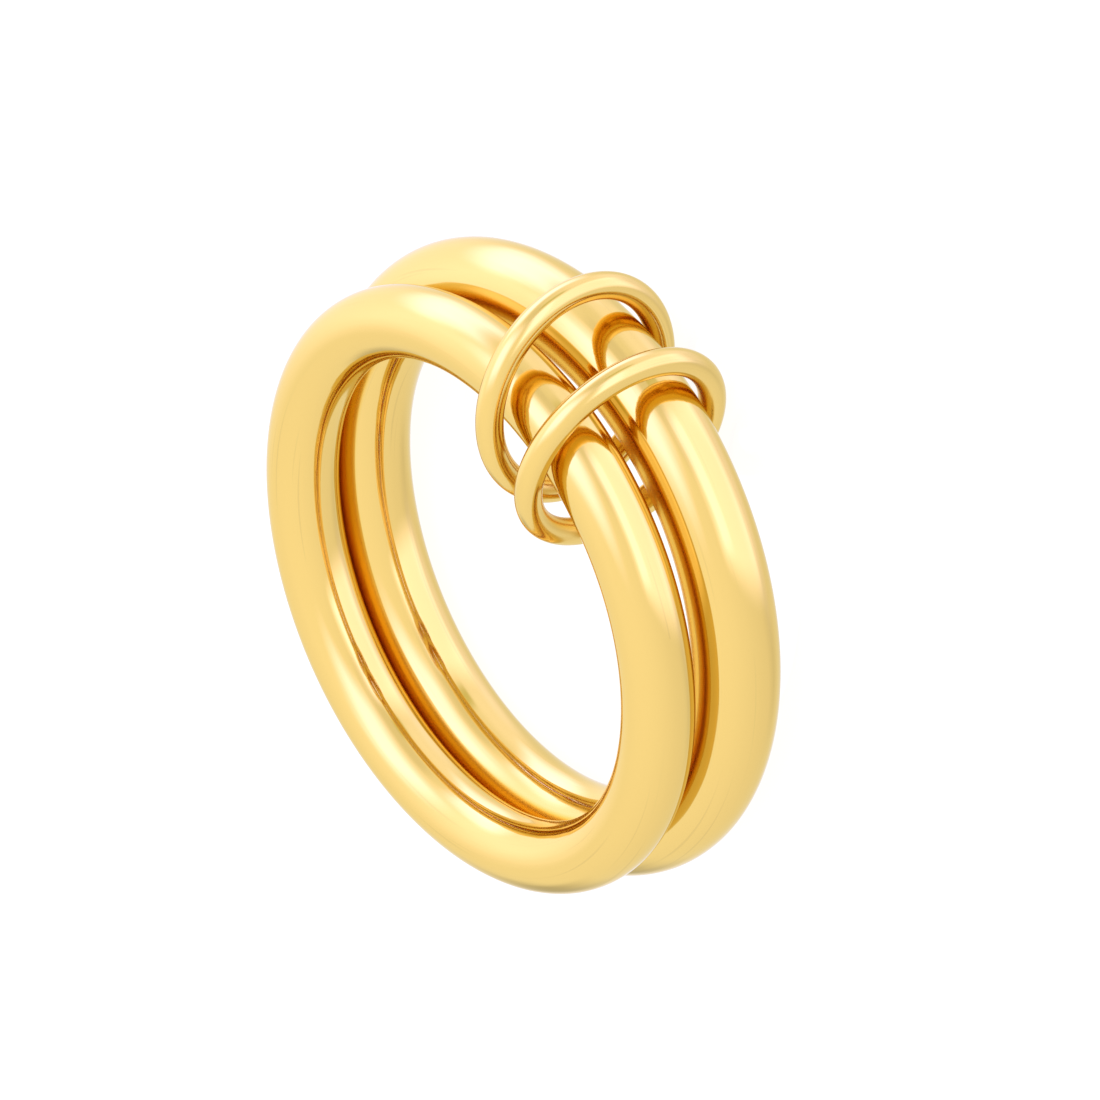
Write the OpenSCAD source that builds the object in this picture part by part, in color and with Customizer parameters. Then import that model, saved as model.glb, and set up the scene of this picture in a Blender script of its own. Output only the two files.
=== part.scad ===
// Double band ring: two plain round bands held together by two small wire links.
// It lies on its side on the surface z = 0, as it rests by itself: the thick band
// is the lower one, its far side and both links touch the surface.
// The links are on the -Y side, and the origin is the middle of the whole outline.
// Lengths are in millimetres and angles in degrees.

/* [Bands] */
// Inner diameter of both bands, the finger size
finger_d = 16.7; // [15:0.1:20]
// Wire diameter of the slim band, the upper one
slim_wire = 2.5; // [2.2:0.05:2.6]
// Wire diameter of the thick band, the lower one
thick_wire = 3.0; // [2.8:0.05:3.05]
// Clear gap between the bands on the side away from the links
band_gap = 0.05; // [0.04:0.01:0.1]
// Angle by which the bands open towards the links
opening = 1.1; // [0.8:0.05:1.4]

/* [Links] */
// Wire diameter of both links
link_wire = 0.95; // [0.8:0.01:0.98]
// Inner diameter of both links
link_inside = 6.45; // [6.4:0.05:6.8]
// Clear gap under the thick band, above the wire of the links
link_play = 0.2; // [0.18:0.01:0.3]
// Angle between the two links, seen along the ring's axis
links_apart = 16.5; // [15:0.5:24]
// How far the first link's centre lies inside the circle that the thick wire follows
first_inset = 0.65; // [0.55:0.01:0.7]
// How far the second link's centre lies inside the circle that the thick wire follows
second_inset = 0.6; // [0.5:0.01:0.7]
// Turn of the first link away from square across the bands
first_turn = 20; // [18:1:24]
// Turn of the second link away from square across the bands
second_turn = 20; // [18:1:24]
// Lean of the first link away from upright
first_lean = 1.5; // [0:0.5:4]
// Lean of the second link away from upright
second_lean = 4; // [0:0.5:4]

/* [Quality] */
// Sides of a round shape
sides = 120; // [48:4:240]

/* [Hidden] */
// Radii of the circles that the wires run along
slim_r = (finger_d + slim_wire) / 2;
thick_r = (finger_d + thick_wire) / 2;
link_r = (link_inside + link_wire) / 2;
// Directions of the links from the ring's axis, on both sides of -Y, and their distances
first_side = -90 + links_apart / 2;
second_side = -90 - links_apart / 2;
first_place = thick_r - first_inset;
second_place = thick_r - second_inset;
// The thick band rises towards the links, which lift it off the surface
lift = link_wire + link_play;
thick_tilt = asin(lift / (thick_r * (1 + cos(links_apart / 2))));
thick_z = thick_wire / 2 + thick_r * sin(thick_tilt);
// Centre of the slim band seen from the thick band's plane, so that the wires
// lie one above the other on the side away from the links
slim_back = thick_r - slim_r;
slim_up = (thick_wire + slim_wire) / 2 + band_gap + slim_r * sin(opening);
// Outline along Y, which puts the origin in its middle
y_low = min(link_y_low(first_side, first_place, first_turn, first_lean),
            link_y_low(second_side, second_place, second_turn, second_lean));
y_high = thick_r * cos(thick_tilt) + thick_wire / 2;
middle_y = (y_low + y_high) / 2;
gold = [0.90, 0.68, 0.30];
pale_gold = [0.95, 0.78, 0.42];

// Lowest Y of a link, whose axis makes an angle with Y
function link_y_low(side, place, turn, lean) =
    let (along_y = cos(lean) * cos(side + turn))
    place * sin(side) - link_r * sqrt(1 - along_y * along_y) - link_wire / 2;

// A closed ring of round wire round the Z axis
module wire_ring(r, wire) {
    rotate_extrude($fn = sides)
        translate([r, 0]) circle(d = wire, $fn = sides);
}

// The plane of the thick band, with the band's centre as its zero
module thick_plane() {
    translate([0, -middle_y, thick_z]) rotate([-thick_tilt, 0, 0]) children();
}

// A link that stands on the surface beside the ring's axis
module link(side, place, turn, lean) {
    link_z = link_r * cos(lean) + link_wire / 2;
    translate([0, -middle_y, link_z])
        rotate([0, 0, side]) translate([place, 0, 0])
            rotate([-90 - lean, 0, turn]) wire_ring(link_r, link_wire);
}

module slim_band() {
    color(pale_gold)
        thick_plane() translate([0, slim_back, slim_up])
            rotate([-opening, 0, 0]) wire_ring(slim_r, slim_wire);
}

module thick_band() {
    color(gold) thick_plane() wire_ring(thick_r, thick_wire);
}

module first_link() {
    color(pale_gold) link(first_side, first_place, first_turn, first_lean);
}

module second_link() {
    color(gold) link(second_side, second_place, second_turn, second_lean);
}

slim_band();
thick_band();
first_link();
second_link();
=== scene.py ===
"""Double band ring in polished yellow gold, lying on a pale studio floor.

Two round wire bands lie one on the other and two thin wire links hold them together.
Lengths are in metres and angles in degrees unless a name or a comment says otherwise.
Azimuths run from +Y (0) towards +X (90), and elevations upwards from the floor.
"""

import math

import bpy
import numpy as np
from mathutils import Matrix, Vector


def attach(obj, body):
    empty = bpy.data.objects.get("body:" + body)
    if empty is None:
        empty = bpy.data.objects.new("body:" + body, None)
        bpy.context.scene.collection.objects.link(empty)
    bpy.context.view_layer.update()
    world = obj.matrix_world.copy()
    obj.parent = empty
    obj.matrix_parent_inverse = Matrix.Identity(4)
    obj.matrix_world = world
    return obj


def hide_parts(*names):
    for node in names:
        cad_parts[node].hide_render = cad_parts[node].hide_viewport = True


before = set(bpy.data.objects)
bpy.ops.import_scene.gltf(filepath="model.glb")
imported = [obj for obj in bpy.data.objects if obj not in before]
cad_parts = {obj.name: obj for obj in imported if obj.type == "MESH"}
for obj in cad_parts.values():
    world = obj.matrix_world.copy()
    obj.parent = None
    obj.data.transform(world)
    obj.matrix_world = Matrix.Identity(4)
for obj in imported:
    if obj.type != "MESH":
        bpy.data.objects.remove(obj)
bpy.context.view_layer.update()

MM = 0.001
FULL_TURN = 2 * math.pi

# Camera: where it stands, seen from the point that it looks at, and its roll, as in the photo
CAMERA_AZIMUTH = 204.44
CAMERA_ELEVATION = 36.03
CAMERA_ROLL = -111.10
CAMERA_DISTANCE = 538.93 * MM
CAMERA_TARGET = Vector((-0.41, -0.46, 3.0)) * MM
SENSOR_WIDTH_IN_MM = 36.0
PHOTO_WIDTH_IN_PIXELS = 1100.0
FOCAL_LENGTH_IN_PIXELS = 16000.0
# The nearest and the farthest that it sees, as shares of its distance
CAMERA_NEAREST = 0.1
CAMERA_FARTHEST = 10

# The four rings of wire: material slot, steps round the ring, sides of the wire, seed for the
# surface patterns, roughness, and the strip where the wire faces the other wires. The strip is
# rougher, as gold that the polishing wheel doesn't reach, and deeper in colour, which is painted
# shade between the parts. It is in degrees round the wire, from its outside and upwards: its
# middle, how far to each side of that it is wholly rough and shaded, and how far to each side it
# is fully polished and unshaded again
RINGS = {
    "slim_band": ("slim_band_gold", 360, 96, 1.0, 0.06, (-102, 18, 27)),
    "thick_band": ("thick_band_gold", 360, 96, 4.0, 0.06, (102, 18, 27)),
    "first_link": ("link_gold", 240, 64, 7.0, 0.10, (180, 35, 75)),
    "second_link": ("link_gold", 240, 64, 9.0, 0.10, (180, 35, 75)),
}
# Points closer than this share of the wire's radius are one point, where the ring closes
SEAM = 0.001

# Gold: its colour where light meets it squarely, and the tint of its reflections near the rim
GOLD = (0.75, 0.535, 0.145, 1.0)
GOLD_RIM = (0.92, 0.90, 0.70, 1.0)
# The deeper colour of the strip where the wires face each other, a painted shade between the parts
GOLD_PAINTED_SHADE = (0.75, 0.43, 0.04, 1.0)
GOLD_SCRATCHED = (0.45, 0.33, 0.10, 1.0)
UNPOLISHED_ROUGHNESS = 0.25

# Patterns in the surface, each a noise with its scale, detail and roughness
STREAKS = (1.0, 2.0, 0.5)
HAIRLINES = (1.6, 3.0, 0.6)
SCRATCHES = (1.0, 0.0, 0.5)
WEAR = (260.0, 4.0, 0.55)
WAVES = (420.0, 1.0, 0.4)
# How the wire's millimetres are scaled for the patterns along it: along the wire, and round it
HAIRLINE_STRETCH = (0.35, 14.0, 1.0)
SCRATCH_STRETCH = (0.12, 7.0, 1.0)
# How the streaks are scaled: metres in space, and millimetres round the wire
STREAK_STRETCH = (90.0, 90.0, 90.0)
STREAK_STRETCH_ROUND_WIRE = 2.4
# How far a seed of 1 shifts the hairlines round the wire, and the wear and the waves
HAIRLINE_SHIFT = 0.7
WEAR_SHIFT = 0.01
# Wear: the noise at which it starts, the noise at which it is full, and how many times as rough
WEAR_FROM = 0.35
WEAR_TO = 0.75
WEAR_DULLING = 1.8
# Scratches: the noise at which they start, the noise at which they are full, and how strong
SCRATCH_FROM = 0.72
SCRATCH_TO = 0.80
SCRATCH_STRENGTH = 0.22
# Patterns in relief, each with its strength and full depth
WAVE_RELIEF = (0.25, 0.010 * MM)
STREAK_RELIEF = (1.0, 0.012 * MM)
HAIRLINE_RELIEF = (0.10, 0.0008 * MM)
# How many times light may bounce from wire to wire
BOUNCES = 8

# Studio: a white room, lighter above, and its soft boxes, which add light to it or take light away.
# Each has its azimuth, elevation, width, height, soft edge, light and tint
ROOM_LIGHT = 1.08
ROOM = Vector((1.08, 1.08, 1.34))
ROOM_ABOVE = Vector((0.12, 0.12, 0.15))
SHADE = Vector((1.0, 1.0, 1.24))
COOL = Vector((1.0, 1.0, 2.6))
COLD = Vector((1.0, 1.0, 4.0))
SOFT_BOXES = {
    "key": (144, 60, 52, 42, 14, 0.60, COLD),
    "key_side": (98, 50, 54, 50, 24, 0.16, COOL),
    "right_strip": (102, -6, 36, 60, 8, 0.50, COLD),
    "right_middle": (104, -6, 22, 36, 8, 0.24, COLD),
    "right_fill": (72, 4, 66, 80, 20, 0.33, COOL),
    "front_low": (203, -22, 60, 84, 9, 0.54, COOL),
    "front_bright": (200, 7, 46, 22, 5, 0.20, COLD),
    "front_gap": (161, -2, 10, 26, 4, -0.30, COOL),
    "low_fill": (180, -72, 60, 30, 12, 0.16, COLD),
    "front_fill": (140, -38, 50, 50, 15, 0.22, COOL),
    "front_shade": (165, 20, 60, 20, 7, -0.16, SHADE),
    "back_shade": (0, -10, 16, 26, 8, -0.45, SHADE),
    "left_shade": (280, -60, 40, 16, 10, -0.12, SHADE),
}

# Floor: a white light table with a slight gloss
FLOOR_SIZE = 1.2
FLOOR_COLOUR = (0.14, 0.14, 0.11, 1.0)
FLOOR_ROUGHNESS = 0.08
FLOOR_GLOW_COLOUR = (1.0, 1.0, 1.0, 1.0)
FLOOR_GLOW = 0.90


def direction(azimuth, elevation):
    """Unit vector towards an azimuth and elevation."""
    a, e = math.radians(azimuth), math.radians(elevation)
    return Vector((math.sin(a) * math.cos(e), math.cos(a) * math.cos(e), math.sin(e)))


def mesh_values(items, name, kind=float, width=1):
    """One property of all of a mesh's vertices, corners or faces, a row for each."""
    values = np.empty(len(items) * width, kind)
    items.foreach_get(name, values)
    return values.reshape(-1, width) if width > 1 else values


def measure_ring(node):
    """Centre, axis, ring radius and wire radius of a CAD ring, in metres."""
    points = mesh_values(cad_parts[node].data.vertices, "co", width=3)
    middle = points.mean(axis=0)
    _, _, axes = np.linalg.svd(points - middle, full_matrices=False)
    flat = (points - middle) @ axes.T
    low, high = flat.min(axis=0), flat.max(axis=0)
    centre = middle + ((low + high) / 2) @ axes
    wire_radius = (high[2] - low[2]) / 2
    ring_radius = (high[0] - low[0] + high[1] - low[1]) / 4 - wire_radius
    axis = Vector(axes[2])
    return Vector(centre), axis if axis.z > 0 else -axis, ring_radius, wire_radius


def add_wire_map(mesh, centre, axis, across, ring_radius, wire_radius):
    """UV map in millimetres: U runs along the wire, and V round it, from its outside and upwards."""
    points = mesh_values(mesh.vertices, "co", width=3) - np.array(centre)
    side = axis.cross(across)
    east, north, up = (points @ np.array(way) for way in (across, side, axis))
    along = np.arctan2(north, east)
    round_wire = np.arctan2(up, np.hypot(east, north) - ring_radius)
    corners = mesh_values(mesh.loops, "vertex_index", int)
    starts = mesh_values(mesh.polygons, "loop_start", int)
    totals = mesh_values(mesh.polygons, "loop_total", int)
    first_corners = np.repeat(corners[starts], totals)
    uv = np.empty((len(corners), 2))
    for column, angle, radius in ((0, along, ring_radius), (1, round_wire, wire_radius)):
        # Where the angle jumps by a full turn, a face keeps to the side of its first corner
        here, first = angle[corners], angle[first_corners]
        here = here + FULL_TURN * np.round((first - here) / FULL_TURN)
        uv[:, column] = here * radius / MM
    layer = mesh.uv_layers.new(name="wire_mm")
    layer.data.foreach_set("uv", uv.ravel())


def wire_ring(node, slot, steps, sides, seed, polish, strip):
    """A closed ring of round wire: a circle spun round the ring's axis, in place of the CAD node."""
    centre, axis, ring_radius, wire_radius = measure_ring(node)
    across = axis.orthogonal().normalized()
    turn = Matrix((across, axis, across.cross(axis))).transposed()
    bpy.ops.object.select_all(action="DESELECT")
    bpy.ops.mesh.primitive_circle_add(
        vertices=sides, radius=wire_radius, fill_type="NOTHING",
        location=centre + across * ring_radius, rotation=turn.to_euler())
    piece = bpy.context.object
    piece.name = node + "_wire"
    bpy.ops.object.mode_set(mode="EDIT")
    bpy.ops.mesh.select_all(action="SELECT")
    bpy.ops.mesh.spin(steps=steps, angle=FULL_TURN, center=centre, axis=axis)
    bpy.ops.mesh.select_all(action="SELECT")
    bpy.ops.mesh.remove_doubles(threshold=wire_radius * SEAM)
    bpy.ops.mesh.normals_make_consistent(inside=False)
    bpy.ops.object.mode_set(mode="OBJECT")
    bpy.ops.object.transform_apply(location=True, rotation=True, scale=True)
    bpy.ops.object.shade_smooth()
    add_wire_map(piece.data, centre, axis, across, ring_radius, wire_radius)
    piece.data.materials.append(polished_gold(node + "_polish", seed, polish, wire_radius / MM, strip))
    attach(piece, node)
    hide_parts(node)


def feed(tree, socket, value):
    """Set a node's input to a value, or link another node's output to it."""
    if isinstance(value, bpy.types.NodeSocket):
        tree.links.new(value, socket)
    else:
        socket.default_value = value


def new_node(tree, kind, **inputs):
    """A shader node with some of its inputs set or linked by name."""
    node = tree.nodes.new(kind)
    for name, value in inputs.items():
        feed(tree, node.inputs[name.replace("_", " ")], value)
    return node


def calculate(tree, kind, operation, *values):
    """The result of a math or vector math node, from its inputs in their order."""
    node = tree.nodes.new(kind)
    node.operation = operation
    for socket, value in zip(node.inputs, values):
        feed(tree, socket, value)
    return node.outputs[0]


def number(tree, operation, *values):
    """The result of a math node."""
    return calculate(tree, "ShaderNodeMath", operation, *values)


def vector(tree, operation, *values):
    """The result of a vector math node."""
    return calculate(tree, "ShaderNodeVectorMath", operation, *values)


def map_range(tree, value, low, high, to_low=0.0, to_high=1.0, curve="LINEAR"):
    """A value stretched from one range to another, and held at its ends."""
    node = new_node(tree, "ShaderNodeMapRange", Value=value, From_Min=low, From_Max=high,
                    To_Min=to_low, To_Max=to_high)
    node.interpolation_type = curve
    return node.outputs["Result"]


def place_at(tree, point, location, scale=(1.0, 1.0, 1.0)):
    """Coordinates of a pattern: a point that is scaled and then moved."""
    node = new_node(tree, "ShaderNodeMapping", Vector=point, Location=location, Scale=scale)
    return node.outputs["Vector"]


def noise(tree, point, pattern, fourth=None):
    """Noise of a pattern's scale, detail and roughness, that may change along a fourth coordinate."""
    scale, detail, roughness = pattern
    node = new_node(tree, "ShaderNodeTexNoise", Vector=point, Scale=scale, Detail=detail,
                    Roughness=roughness)
    if fourth is not None:
        node.noise_dimensions = "4D"
        feed(tree, node.inputs["W"], fourth)
    return node.outputs["Fac"]


def emboss(tree, height, relief, under=None):
    """Normals of a surface with a pattern in relief, over the normals under it if there are any."""
    strength, depth = relief
    node = new_node(tree, "ShaderNodeBump", Height=height, Strength=strength, Distance=depth)
    if under is not None:
        feed(tree, node.inputs["Normal"], under)
    return node.outputs["Normal"]


def polished_gold(name, seed, polish, wire_radius_in_mm, strip):
    """Mirror polished gold with fine hairlines along the wire and a faint hand-polished unevenness."""
    material = bpy.data.materials.new(name)
    material.use_nodes = True
    tree = material.node_tree
    shader = tree.nodes["Principled BSDF"]
    shader.inputs["Metallic"].default_value = 1.0
    shader.inputs["Specular Tint"].default_value = GOLD_RIM

    place = new_node(tree, "ShaderNodeTexCoord").outputs["Object"]
    wire_map = new_node(tree, "ShaderNodeUVMap")
    wire_map.uv_map = "wire_mm"
    wire = wire_map.outputs["UV"]
    round_wire = new_node(tree, "ShaderNodeSeparateXYZ", Vector=wire).outputs["Y"]

    # Streaks left by drawing the wire through its die, millimetres long and tenths of one wide
    streak_place = place_at(tree, place, (seed, seed, seed), STREAK_STRETCH)
    streak_side = number(tree, "MULTIPLY", round_wire, STREAK_STRETCH_ROUND_WIRE)
    streaks = noise(tree, streak_place, STREAKS, streak_side)

    # Hairlines left by the polishing cloth: long along the wire, hundredths of a millimetre wide
    hairline_place = place_at(tree, wire, (seed, seed * HAIRLINE_SHIFT, 0), HAIRLINE_STRETCH)
    hairlines = noise(tree, hairline_place, HAIRLINES)

    # Cloudy wear: touched places are a little duller
    wear_place = place_at(tree, place, (seed * WEAR_SHIFT, 0, 0))
    wear = noise(tree, wear_place, WEAR)
    dull = map_range(tree, wear, WEAR_FROM, WEAR_TO, polish, polish * WEAR_DULLING)

    # The strip where the wire faces the other wires: duller, as gold that the polishing wheel doesn't
    # reach, and deeper in colour, which is painted shade between the parts
    middle, inner, outer = (math.radians(angle) for angle in strip)
    off_middle = number(tree, "MULTIPLY_ADD", round_wire, 1 / wire_radius_in_mm, -middle)
    within_turn = number(tree, "WRAP", off_middle, math.pi, -math.pi)
    away = number(tree, "ABSOLUTE", within_turn)
    unpolished_and_painted_shade = map_range(tree, away, outer, inner, curve="SMOOTHSTEP")
    roughness = new_node(tree, "ShaderNodeMix", Factor=unpolished_and_painted_shade, A=dull, B=UNPOLISHED_ROUGHNESS)
    feed(tree, shader.inputs["Roughness"], roughness.outputs["Result"])
    # Painted shade: the strip's gold is mixed towards a deeper amber colour
    gold_with_painted_shade = new_node(tree, "ShaderNodeMixRGB", Fac=unpolished_and_painted_shade, Color1=GOLD, Color2=GOLD_PAINTED_SHADE)

    # A few hair scratches along the wire, some millimetres long
    scratch_place = place_at(tree, wire, (seed, seed, 0), SCRATCH_STRETCH)
    scratches = noise(tree, scratch_place, SCRATCHES)
    scratched = map_range(tree, scratches, SCRATCH_FROM, SCRATCH_TO, to_high=SCRATCH_STRENGTH)
    colour = new_node(tree, "ShaderNodeMixRGB", Fac=scratched, Color1=gold_with_painted_shade.outputs["Color"],
                      Color2=GOLD_SCRATCHED)
    feed(tree, shader.inputs["Base Color"], colour.outputs["Color"])

    # Waves of a hand-polished round wire, a few millimetres long and microns deep, under the rest
    waves = noise(tree, wear_place, WAVES)
    normal = emboss(tree, waves, WAVE_RELIEF)
    normal = emboss(tree, streaks, STREAK_RELIEF, normal)
    normal = emboss(tree, hairlines, HAIRLINE_RELIEF, normal)
    feed(tree, shader.inputs["Normal"], normal)
    return material


def studio_world():
    """White surroundings with rectangular soft boxes, brighter or darker than the rest."""
    world = bpy.data.worlds.new("studio")
    bpy.context.scene.world = world
    world.use_nodes = True
    tree = world.node_tree
    place = new_node(tree, "ShaderNodeTexCoord").outputs["Generated"]
    height_in_room = new_node(tree, "ShaderNodeSeparateXYZ", Vector=place).outputs["Z"]
    total = vector(tree, "MULTIPLY_ADD", height_in_room, ROOM_ABOVE, ROOM)
    for name, (azimuth, elevation, width, height, edge, light, tint) in SOFT_BOXES.items():
        # The direction as the soft box sees it: X to its right, Y at its middle, Z up
        turn = new_node(tree, "ShaderNodeMapping", Vector=place)
        turn.label = name
        turn.vector_type = "TEXTURE"
        turn.inputs["Rotation"].default_value = (math.radians(elevation), 0, -math.radians(azimuth))
        split = new_node(tree, "ShaderNodeSeparateXYZ", Vector=turn.outputs["Vector"])
        sideways = number(tree, "ARCTAN2", split.outputs["X"], split.outputs["Y"])
        upward = number(tree, "ARCSINE", split.outputs["Z"])
        inside = []
        for angle, size in ((sideways, width), (upward, height)):
            away = number(tree, "ABSOLUTE", angle)
            outer, inner = math.radians(size / 2 + edge), math.radians(size / 2 - edge)
            inside.append(map_range(tree, away, outer, inner, curve="SMOOTHSTEP"))
        share = number(tree, "MULTIPLY", *inside)
        total = vector(tree, "MULTIPLY_ADD", share, tint * light, total)
    feed(tree, tree.nodes["Background"].inputs["Color"], total)
    tree.nodes["Background"].inputs["Strength"].default_value = ROOM_LIGHT


def studio_floor():
    """A plain white table, lit from below, so that shadows on it stay faint."""
    material = bpy.data.materials.new("floor_white")
    material.use_nodes = True
    shader = material.node_tree.nodes["Principled BSDF"]
    shader.inputs["Base Color"].default_value = FLOOR_COLOUR
    shader.inputs["Roughness"].default_value = FLOOR_ROUGHNESS
    shader.inputs["Emission Color"].default_value = FLOOR_GLOW_COLOUR
    shader.inputs["Emission Strength"].default_value = FLOOR_GLOW
    bpy.ops.object.select_all(action="DESELECT")
    bpy.ops.mesh.primitive_plane_add(size=FLOOR_SIZE, location=(0, 0, 0))
    floor = bpy.context.object
    floor.name = "floor"
    floor.data.materials.append(material)
    # The gold mirrors the soft boxes that stood round the ring, also those below the table's level
    floor.visible_glossy = False


def photo_camera():
    """The photo's long lens, turned about its own axis as the photo is."""
    data = bpy.data.cameras.new("camera")
    data.sensor_width = SENSOR_WIDTH_IN_MM
    data.lens = FOCAL_LENGTH_IN_PIXELS / PHOTO_WIDTH_IN_PIXELS * SENSOR_WIDTH_IN_MM
    data.clip_start = CAMERA_DISTANCE * CAMERA_NEAREST
    data.clip_end = CAMERA_DISTANCE * CAMERA_FARTHEST
    camera = bpy.data.objects.new("camera", data)
    bpy.context.scene.collection.objects.link(camera)
    back = direction(CAMERA_AZIMUTH, CAMERA_ELEVATION)
    look = (-back).to_track_quat("-Z", "Y").to_matrix().to_4x4()
    roll = Matrix.Rotation(math.radians(CAMERA_ROLL), 4, "Z")
    camera.matrix_world = Matrix.Translation(CAMERA_TARGET + back * CAMERA_DISTANCE) @ look @ roll
    bpy.context.scene.camera = camera


photo_camera()
studio_world()
studio_floor()
bpy.context.scene.view_settings.view_transform = "Standard"
bpy.context.scene.cycles.glossy_bounces = BOUNCES

for ring, facts in RINGS.items():
    wire_ring(ring, *facts)
